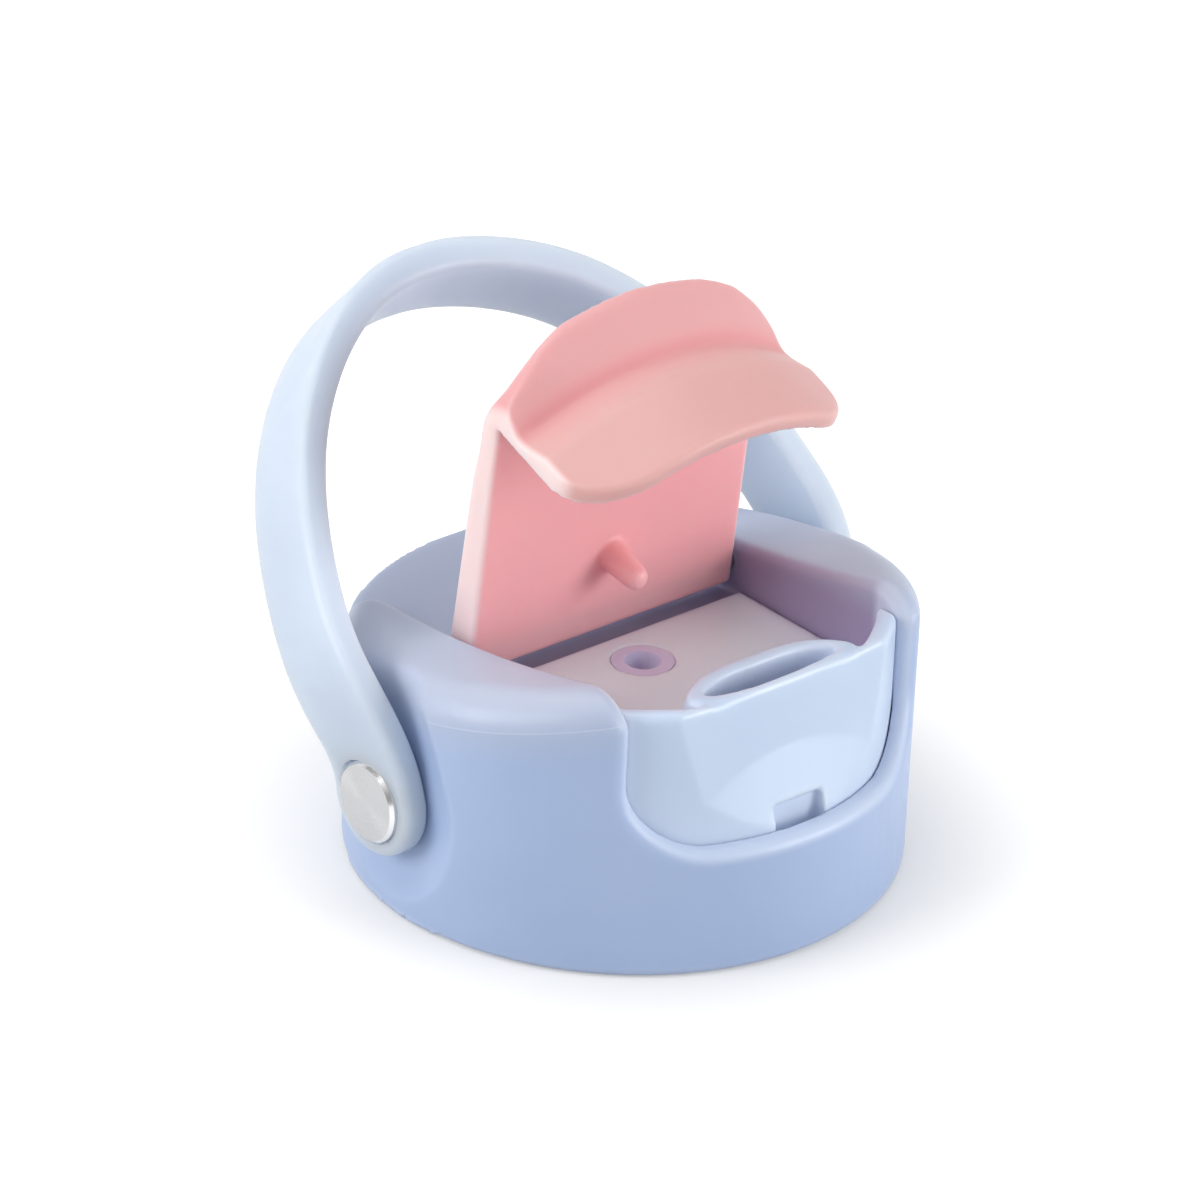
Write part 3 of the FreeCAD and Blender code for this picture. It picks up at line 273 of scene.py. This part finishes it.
def shell_material():
    """Satin moulded plastic with a fine grain, soft tone changes and a parting line, and with
    painted light and shade: a paler top, a highlight on the window rim, highlighted edges, and
    painted shade with reflected pink between the cheeks.
    """
    made, n = material("shell_plastic")
    point, x, y, z = n.place()
    from_crown = n.minus(y, CROWN_Y)
    squared = n.minus(CROWN_RADIUS ** 2, n.times(from_crown, from_crown))
    crown = n.minus(CROWN_TOP, n.math("SQRT", squared))
    drop = n.minus(crown, z)
    to_line = n.math("ABSOLUTE", n.minus(drop, SHOULDER_DROP))
    on_skin = n.spread(n.length(x, y), SKIN_REACH, 0.0, 1.0)
    line = n.times(n.fall(to_line, PARTING_LINE), on_skin)
    tone = n.varied(point, 38.0, 0.0, 1.0)
    base = n.mix(tone, shade(164, 184, 219), shade(170, 189, 223))
    # painted top light: the shell is paler near the crown, where light from above falls
    pale = n.mix(tone, shade(179, 188, 209), shade(184, 192, 212))
    base = n.mix(n.fall(drop, TOP_LIGHT_DROP), base, pale)
    # painted highlight along the rounded rim of the front window
    base = n.mix(n.times(window_rim_highlight(n, x, y, z), 0.55), base, shade(212, 222, 240))
    # painted shade and reflected pink from the cover on the walls between the cheeks
    base = n.mix(n.times(painted_light_share(n, x, y, z), 0.90), base, shade(150, 136, 168))
    # painted highlight on outer edges and thin rims
    base = n.mix(n.times(n.brim(0.0012), 0.5), base, shade(214, 224, 244))
    colour = n.mix(n.times(line, 0.30), base, shade(226, 234, 248))
    rough = n.varied(point, 260.0, 0.36, 0.44)
    grain = n.bump(n.noise(point, 5200.0, 3.0), 0.00002, 0.5)
    normal = n.bump(line, 0.00004, 0.5, grain)
    n.surface(colour, rough, normal, Subsurface_Weight=0.2, Subsurface_Scale=0.0015,
              Specular_IOR_Level=0.5)
    return made


def liner_material():
    """Paler, smoother plastic of the liner and the spout, with painted light: a paler floor between
    the cheeks, paler hollows as if lit through the thin walls, and highlighted edges.
    """
    made, n = material("liner_plastic")
    point, x, y, z = n.place()
    tone = n.varied(point, 45.0, 0.0, 1.0)
    base = n.mix(tone, shade(192, 210, 234), shade(198, 215, 237))
    # painted light: the floor between the cheeks is paler, standing in for the light that reaches
    # it
    painted_floor_light = n.times(painted_light_share(n, x, y, z), n.spread(z, FLOOR_HEIGHT, 1.0, 0.0))
    colour = n.mix(painted_floor_light, base, shade(238, 252, 255))
    # painted light: hollows paler, as if light came through the thin walls
    colour = n.mix(n.times(n.hollow(0.006), 0.6), colour, shade(232, 238, 255))
    # painted highlight on outer edges and thin rims
    colour = n.mix(n.times(n.brim(0.0012), 0.6), colour, shade(224, 231, 245))
    rough = n.varied(point, 300.0, 0.28, 0.36)
    grain = n.bump(n.noise(point, 3800.0), 0.00001, 0.4)
    n.surface(colour, rough, grain, Subsurface_Weight=0.3, Subsurface_Scale=0.002,
              Specular_IOR_Level=0.5)
    return made


def cover_material():
    """Pink moulded plastic with a peach tongue, and painted light and shade: deeper pink shade in
    hollows, reflected pink on the ridge, a shaded groove, a lit pinker plate, highlighted pale
    edges and lit pale sides.
    """
    made, n = material("cover_plastic")
    point, x, y, z = n.place()
    back = n.minus(y, HINGE_Y)
    up = n.minus(z, HINGE_Z)
    cos, sin = math.cos(COVER_LEAN), math.sin(COVER_LEAN)
    across = n.plus(n.times(back, cos), n.times(up, sin))
    cos, sin = math.cos(COVER_SWING), math.sin(COVER_SWING)
    ahead = n.minus(n.minus(n.times(up, sin), n.times(back, cos)), HINGE_Y)
    above = n.plus(n.times(back, sin), n.times(up, cos))
    tone = n.varied(point, 40.0, 0.0, 1.0)
    base = n.mix(tone, shade(215, 167, 165), shade(219, 172, 169))
    # painted shade: deeper pink in hollows, where shade and reflected pink light fall
    base = n.mix(n.hollow(0.005), base, shade(224, 142, 146))
    # painted reflected pink light on the ridge
    painted_crest_pink = n.times(n.spread(above, CREST_HEIGHT, 0.0, 0.7, True), n.rise(ahead, CREST_FRONT))
    base = n.mix(painted_crest_pink, base, shade(227, 167, 171))
    # painted shade along the groove, deep pink as reflected light
    to_trough = n.math("ABSOLUTE", n.minus(above, TROUGH_HEIGHT))
    trough = n.times(n.spread(to_trough, TROUGH_BAND, 0.45, 0.0, True),
                     n.rise(ahead, TROUGH_FRONT))
    base = n.mix(trough, base, shade(224, 134, 140))
    # painted light: the plate's inner face brighter and pinker, as if lit from the front
    under = n.times(n.spread(across, PLATE_FACE, 1.0, 0.0),
                    n.spread(n.length(x, ahead), PLATE_REACH, 1.0, 0.0))
    base = n.mix(under, base, shade(250, 178, 181))
    # painted highlight on outer edges and thin rims
    base = n.mix(n.times(n.brim(0.0005), 0.6), base, shade(252, 226, 222))
    # painted light: the cover's sides paler, as if lit
    side = n.rise(n.math("ABSOLUTE", x), COVER_SIDE)
    colour = n.mix(n.times(side, 0.85), base, shade(252, 228, 226))
    rough = n.varied(point, 240.0, 0.36, 0.46)
    grain = n.bump(n.noise(point, 4600.0, 3.0), 0.000015, 0.5)
    shader = n.surface(colour, rough, grain, Subsurface_Weight=0.5, Subsurface_Scale=0.003,
                       Specular_IOR_Level=0.45)
    shader.inputs["Subsurface Radius"].default_value = (1.0, 0.6, 0.55)
    return made


def strap_material():
    """Milky see-through silicone."""
    made, n = material("strap_silicone")
    point = n.place()[0]
    tone = n.varied(point, 60.0, 0.0, 1.0)
    colour = n.mix(tone, shade(193, 205, 222), shade(198, 210, 226))
    rough = n.varied(point, 350.0, 0.34, 0.44)
    grain = n.bump(n.noise(point, 2600.0), 0.00001, 0.4)
    n.surface(colour, rough, grain, Subsurface_Weight=1.0, Subsurface_Scale=0.007,
              Specular_IOR_Level=0.4)
    return made


def silicone_material():
    """Grey-lilac silicone of the valve and the gasket."""
    made, n = material("valve_silicone")
    point = n.place()[0]
    tone = n.varied(point, 120.0, 0.0, 1.0)
    colour = n.mix(tone, shade(214, 210, 238), shade(220, 216, 243))
    rough = n.varied(point, 500.0, 0.34, 0.46)
    grain = n.bump(n.noise(point, 2200.0), 0.00001, 0.4)
    n.surface(colour, rough, grain, Subsurface_Weight=0.4, Subsurface_Scale=0.001,
              Specular_IOR_Level=0.45)
    return made


def steel_material():
    """Turned steel: very fine rings round the rivet's axis and a polished bevel."""
    made, n = material("rivet_steel")
    y, z = n.place()[2:]
    out = n.length(n.minus(y, PIVOT_Y), n.minus(z, PIVOT_Z))
    rings = n.add("ShaderNodeCombineXYZ")
    n.link(out, rings.inputs[0])
    fine = n.noise(rings.outputs[0], 14000.0, 2.0, 0.6)
    bevel = n.spread(out, RIVET_BEVEL, 0.0, 1.0)
    colour = n.mix(n.spread(fine, NOISE_MIDDLE, 0.0, 1.0), grey(0.50), grey(0.60))
    colour = n.mix(bevel, colour, grey(0.80))
    turned = n.spread(fine, NOISE_MIDDLE, 0.24, 0.32)
    rough = n.times(turned, n.spread(bevel, (0.0, 1.0), 1.0, 0.55))
    tangent = n.add("ShaderNodeTangent", direction_type="RADIAL", axis="X")
    shader = n.surface(colour, rough, n.bump(fine, 0.000002, 0.5), Metallic=1.0, Anisotropic=0.8)
    n.link(tangent.outputs[0], shader.inputs["Tangent"])
    return made


def pin_material():
    """Ground steel of the hinge pin, with lines along its length."""
    made, n = material("pin_steel")
    mapping = n.add("ShaderNodeMapping")
    n.link(n.place()[0], mapping.inputs[0])
    mapping.inputs["Scale"].default_value = (0.05, 1.0, 1.0)
    lines = n.noise(mapping.outputs[0], 6000.0)
    rough = n.spread(lines, NOISE_MIDDLE, 0.25, 0.4)
    n.surface(n.mix(lines, grey(0.50), grey(0.62)), rough, n.bump(lines, 0.000004, 0.5),
              Metallic=1.0)
    return made


silicone = silicone_material()
steel = steel_material()
MATERIALS = {
    "cap_shell": shell_material(),
    "spout_liner": liner_material(),
    "flip_cover": cover_material(),
    "carry_strap": strap_material(),
    "vent_valve": silicone,
    "neck_gasket": silicone,
    "rivet_cap_right": steel,
    "rivet_cap_left": steel,
    "rivet_screw_right": steel,
    "rivet_screw_left": steel,
    "cover_hinge_pin": pin_material(),
}
for word, node in nodes.items():
    node.data.materials.clear()
    node.data.materials.append(MATERIALS[word])


def neck_thread():
    """The ridge that winds round inside the neck bore, tapered at both ends."""
    steps = int(THREAD_STEPS * THREAD_TURNS)
    points = []
    faces = []
    for step in range(steps + 1):
        angle = 2 * math.pi * step / THREAD_STEPS
        share = min(1.0, step / THREAD_TAPER, (steps - step) / THREAD_TAPER)
        share = share * share * (3 - 2 * share)
        height = THREAD_START + THREAD_PITCH * step / THREAD_STEPS
        for depth, offset in THREAD_PROFILE:
            radius = NECK_RADIUS + THREAD_ROOT - (THREAD_DEPTH + THREAD_ROOT) * depth * share
            points.append((radius * math.cos(angle), radius * math.sin(angle), height + offset))
    count = len(THREAD_PROFILE)
    for step in range(steps):
        for side in range(count - 1):
            first = step * count + side
            faces.append((first, first + count, first + count + 1, first + 1))
    faces.append(tuple(range(count)))
    faces.append(tuple(range(steps * count + count - 1, steps * count - 1, -1)))
    mesh = bpy.data.meshes.new("neck_thread")
    mesh.from_pydata(points, [], faces)
    mesh.validate()
    mesh.shade_smooth()
    made = bpy.data.objects.new("neck_thread", mesh)
    bpy.context.scene.collection.objects.link(made)
    mesh.materials.append(MATERIALS["spout_liner"])
    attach(made, "cap")


def ramp(value, low, high):
    """A smooth step from zero to one, for arrays."""
    share = np.clip((value - low) / (high - low), 0.0, 1.0)
    return share * share * (3.0 - 2.0 * share)


def applied(made):
    """The object's mesh with its modifiers worked in, put back on the object."""
    bpy.context.view_layer.update()
    ready = made.evaluated_get(bpy.context.evaluated_depsgraph_get())
    mesh = bpy.data.meshes.new_from_object(ready)
    made.modifiers.clear()
    made.data = mesh
    return mesh


def fine_copy(word, name, voxel, rounds):
    """A copy of a CAD node on an even fine mesh, its edges softened by a few rounds."""
    source = nodes[word]
    made = bpy.data.objects.new(name, source.data.copy())
    made.matrix_world = source.matrix_world
    bpy.context.scene.collection.objects.link(made)
    grid = made.modifiers.new("grid", "REMESH")
    grid.mode = "VOXEL"
    grid.voxel_size = voxel
    relax = made.modifiers.new("relax", "SMOOTH")
    relax.factor = 0.5
    relax.iterations = rounds
    mesh = applied(made)
    place = np.empty(len(mesh.vertices) * 3)
    mesh.vertices.foreach_get("co", place)
    facing = np.empty(len(mesh.vertices) * 3)
    mesh.vertex_normals.foreach_get("vector", facing)
    return made, place.reshape(-1, 3), facing.reshape(-1, 3)


def relaxed(mesh, place, weight, rounds):
    """The points moved towards their neighbours' middle, as far as the weight says."""
    pull = 0.6
    ends = np.empty(len(mesh.edges) * 2, dtype=np.int64)
    mesh.edges.foreach_get("vertices", ends)
    first, second = ends.reshape(-1, 2).T
    chosen = (weight[first] > 0.0) | (weight[second] > 0.0)
    first, second = first[chosen], second[chosen]
    count = len(place)
    links = np.bincount(first, minlength=count) + np.bincount(second, minlength=count)
    links = np.maximum(links, 1)
    share = (pull * weight)[:, None]
    for _ in range(rounds):
        middle = np.empty_like(place)
        for axis in range(3):
            middle[:, axis] = (np.bincount(first, place[second, axis], count)
                               + np.bincount(second, place[first, axis], count)) / links
        place = place + share * (middle - place)
    return place


def finish_form(made, place, word, body, keep):
    """Puts the moved points back, thins the mesh and lets the piece stand for its node."""
    mesh = made.data
    mesh.vertices.foreach_set("co", place.ravel())
    mesh.update()
    if keep < 1.0:
        thin = made.modifiers.new("thin", "DECIMATE")
        thin.ratio = keep
        mesh = applied(made)
    mesh.shade_smooth()
    mesh.materials.clear()
    mesh.materials.append(MATERIALS[word])
    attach(made, body)
    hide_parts(word)


def cover_form():
    """The cover with soft edges and with its groove and ridge as deep as moulded."""
    made, place, facing = fine_copy("flip_cover", "flip_cover_form", 0.00026, 5)
    groove_depth, groove_z, groove_width = 0.00060, 0.0286, 0.0018
    ridge_lift, ridge_end_lift = 0.0009, 0.0006
    corner_drop = 0.0010

    cos, sin = math.cos(COVER_SWING), math.sin(COVER_SWING)
    turn = np.array([[1.0, 0.0, 0.0], [0.0, cos, -sin], [0.0, sin, cos]])
    hinge = np.array([0.0, HINGE_Y, HINGE_Z])
    closed = (place - hinge) @ turn.T + hinge
    outward = -(facing @ turn.T)[:, 1]
    x, y, z = closed.T
    sideways = np.abs(x)
    on_face = ramp(outward, 0.0, 0.55) * ramp(-y, 0.0150, 0.0190)
    groove = groove_depth * np.exp(-((z - groove_z) / groove_width) ** 2)
    inside = 1.0 - ramp(sideways, 0.0160, 0.0190)
    end = ramp(sideways, 0.0060, 0.0150) * (0.5 + 0.5 * inside)
    ridge = ramp(z, 0.0288, 0.0335) * (ridge_lift + ridge_end_lift * end)
    closed[:, 1] += (groove * (0.4 + 0.6 * inside) - ridge) * on_face

    corner = ramp(sideways, 0.0090, 0.0150) * (1.0 - ramp(sideways, 0.0165, 0.0198))
    corner *= ramp(z, 0.0310, 0.0350) * ramp(-y, 0.0130, 0.0190)
    closed[:, 2] -= corner_drop * corner
    rim = ramp(z, 0.0310, 0.0335) * ramp(-y, 0.0140, 0.0180)
    closed = relaxed(made.data, closed, rim, 18)
    place = (closed - hinge) @ turn + hinge
    finish_form(made, place, "flip_cover", "cover", 1.0)


def shell_form():
    """The shell with soft edges, its dents for the strap blended into the skin."""
    made, place, facing = fine_copy("cap_shell", "cap_shell_form", 0.00031, 3)
    blend = 0.0020
    flank_share = 0.98
    skin_slack = 0.0004
    dent_reach = 0.0160
    facing_least = 0.15

    x, y, z = place.T
    side = np.sign(x)
    crown = CROWN_TOP - np.sqrt(CROWN_RADIUS ** 2 - (y - CROWN_Y) ** 2)
    drop = np.clip(crown - z, 0.0, SHOULDER_DROP)
    inward = SHOULDER_DROP - np.sqrt(SHOULDER_DROP ** 2 - (SHOULDER_DROP - drop) ** 2)
    radius = SHELL_RADIUS + SHELL_GROWTH * z - inward
    skin = np.sqrt(np.maximum(radius ** 2 - y ** 2, 0.0))
    across, up = y - PIVOT_Y, z - PIVOT_Z
    along = across * math.sin(DENT_LEAN) + up * math.cos(DENT_LEAN)
    beside = np.abs(across * math.cos(DENT_LEAN) - up * math.sin(DENT_LEAN))
    away = np.where(along > 0.0, beside, np.hypot(across, up))
    flank = np.clip(away - DENT_HALF, 0.0, DENT_CURVE * flank_share)
    dent = DENT_FLAT + DENT_CURVE - np.sqrt(DENT_CURVE ** 2 - flank ** 2)
    lower = np.minimum(skin, dent)
    smooth = lower - np.maximum(blend - np.abs(skin - dent), 0.0) ** 2 / (4.0 * blend)
    on_side = (np.abs(np.abs(x) - lower) < skin_slack) & (facing[:, 0] * side > facing_least)
    near = on_side & (away < dent_reach)
    place[near, 0] = (side * smooth)[near]

    top = ramp(z - crown, -0.0040, -0.0020) * (1.0 - ramp(away, 0.0105, 0.0130))
    place = relaxed(made.data, place, top * ramp(np.abs(x), 0.0240, 0.0262), 8)
    finish_form(made, place, "cap_shell", "cap", 0.50)


def liner_form():
    """The liner with soft edges and a rounded lip round the spout."""
    made, place, _ = fine_copy("spout_liner", "spout_liner_form", 0.00032, 3)
    lip_half, lip_reach = 0.0132, 0.0062
    x, y, z = place.T
    oval = np.hypot(x / lip_half, (y - SPOUT_Y) / lip_reach)
    lip = (1.0 - ramp(oval, 1.0, 1.15)) * ramp(z, 0.0262, 0.0278)
    place = relaxed(made.data, place, lip, 8)
    finish_form(made, place, "spout_liner", "cap", 0.45)


neck_thread()
cover_form()
shell_form()
liner_form()

# Floor and backdrop in one sweep, white to the camera and with a soft shadow under the cap, partly
# cast and partly painted by a glow that is dimmed near the cap
FLOOR_REACH = 3.0
FLOOR_DROP = 0.0001
FLOOR_PLAIN = 0.60
FLOOR_SEEN = 0.66
SHADOW_BAND = (0.030, 0.058)
floor_mesh = bpy.data.meshes.new("floor")
floor_corners = [(-FLOOR_REACH, -FLOOR_REACH, 0), (FLOOR_REACH, -FLOOR_REACH, 0),
                 (FLOOR_REACH, FLOOR_REACH, 0), (-FLOOR_REACH, FLOOR_REACH, 0)]
floor_mesh.from_pydata(floor_corners, [], [(0, 1, 2, 3)])
floor = bpy.data.objects.new("floor", floor_mesh)
floor.location.z = -FLOOR_DROP
bpy.context.scene.collection.objects.link(floor)
floor_paint, n = material("floor_paint")
rays = n.add("ShaderNodeLightPath")
seen = n.math("MAXIMUM", rays.outputs["Is Camera Ray"], rays.outputs["Is Glossy Ray"])
seen = n.math("MAXIMUM", seen, rays.outputs["Is Transmission Ray"])
plain = n.add("ShaderNodeBsdfDiffuse")
plain.inputs["Color"].default_value = grey(FLOOR_PLAIN, 0.0)
shadowed = n.add("ShaderNodeBsdfDiffuse")
shadowed.inputs["Color"].default_value = grey(FLOOR_SEEN, 0.0)
glow = n.add("ShaderNodeEmission")
floor_x, floor_y = n.place()[1:3]
# painted shadow: the floor's glow to the camera is weaker near the cap, so a shadow shows there
glow_dimmed_near_cap = n.spread(n.length(floor_x, floor_y), SHADOW_BAND, 0.28, 0.52, True)
n.link(glow_dimmed_near_cap, glow.inputs["Strength"])
together = n.add("ShaderNodeAddShader")
n.link(shadowed.outputs[0], together.inputs[0])
n.link(glow.outputs[0], together.inputs[1])
either = n.add("ShaderNodeMixShader")
n.link(seen, either.inputs[0])
n.link(plain.outputs[0], either.inputs[1])
n.link(together.outputs[0], either.inputs[2])
n.link(either.outputs[0], n.add("ShaderNodeOutputMaterial").inputs[0])
floor_mesh.materials.append(floor_paint)

# Light: an even pale surround, which glossy rays see as soft bright and grey areas, and three lamps
WORLD_STRENGTH = 0.45
world = bpy.data.worlds.new("surround")
bpy.context.scene.world = world
world.use_nodes = True
n = Nodes(world.node_tree)
surround = n.add("ShaderNodeBackground")
rays = n.add("ShaderNodeLightPath")
studio = n.add("ShaderNodeTexNoise")
studio.inputs["Scale"].default_value = 1.6
studio.inputs["Detail"].default_value = 0.0
mirrored = n.spread(studio.outputs[0], (0.38, 0.62), 0.35, 1.0, True)
gloss = n.times(rays.outputs["Is Glossy Ray"], n.minus(mirrored, WORLD_STRENGTH))
open_sky = n.math("MAXIMUM", rays.outputs["Is Camera Ray"], rays.outputs["Is Transmission Ray"])
strength = n.math("MAXIMUM", n.plus(WORLD_STRENGTH, gloss), open_sky)
n.link(strength, surround.inputs["Strength"])
surround.inputs["Color"].default_value = (1.0, 1.0, 1.0, 1.0)
n.link(surround.outputs[0], n.add("ShaderNodeOutputWorld").inputs[0])


def lamp(name, place, side, power):
    """A square soft lamp that looks at the middle of the cap."""
    light = bpy.data.lights.new(name, "AREA")
    light.shape = "RECTANGLE"
    light.size = side
    light.size_y = side
    light.energy = power
    made = bpy.data.objects.new(name, light)
    made.location = place
    way = Vector((0.0, 0.0, 0.03)) - Vector(place)
    made.rotation_mode = "QUATERNION"
    made.rotation_quaternion = way.to_track_quat("-Z", "Y")
    bpy.context.scene.collection.objects.link(made)


lamp("lamp_top", (-0.10, 0.25, 0.85), 0.8, 3.6)
lamp("lamp_left", (-0.78, 0.22, 0.36), 0.5, 4.0)
lamp("lamp_right", (0.50, -0.76, 0.24), 0.5, 5.0)

# Camera
camera_data = bpy.data.cameras.new("camera")
camera_data.lens = CAMERA_LENS
camera_data.sensor_width = 36.0
camera_data.clip_start = 0.05
camera_data.clip_end = 20.0
camera = bpy.data.objects.new("camera", camera_data)
bpy.context.scene.collection.objects.link(camera)
camera.location = CAMERA_PLACE
look = Vector(CAMERA_AIM) - Vector(CAMERA_PLACE)
camera.rotation_mode = "QUATERNION"
camera.rotation_quaternion = (look.to_track_quat("-Z", "Y")
                              @ Quaternion((0.0, 0.0, 1.0), math.radians(CAMERA_ROLL)))
bpy.context.scene.camera = camera

bpy.context.scene.view_settings.view_transform = "Standard"
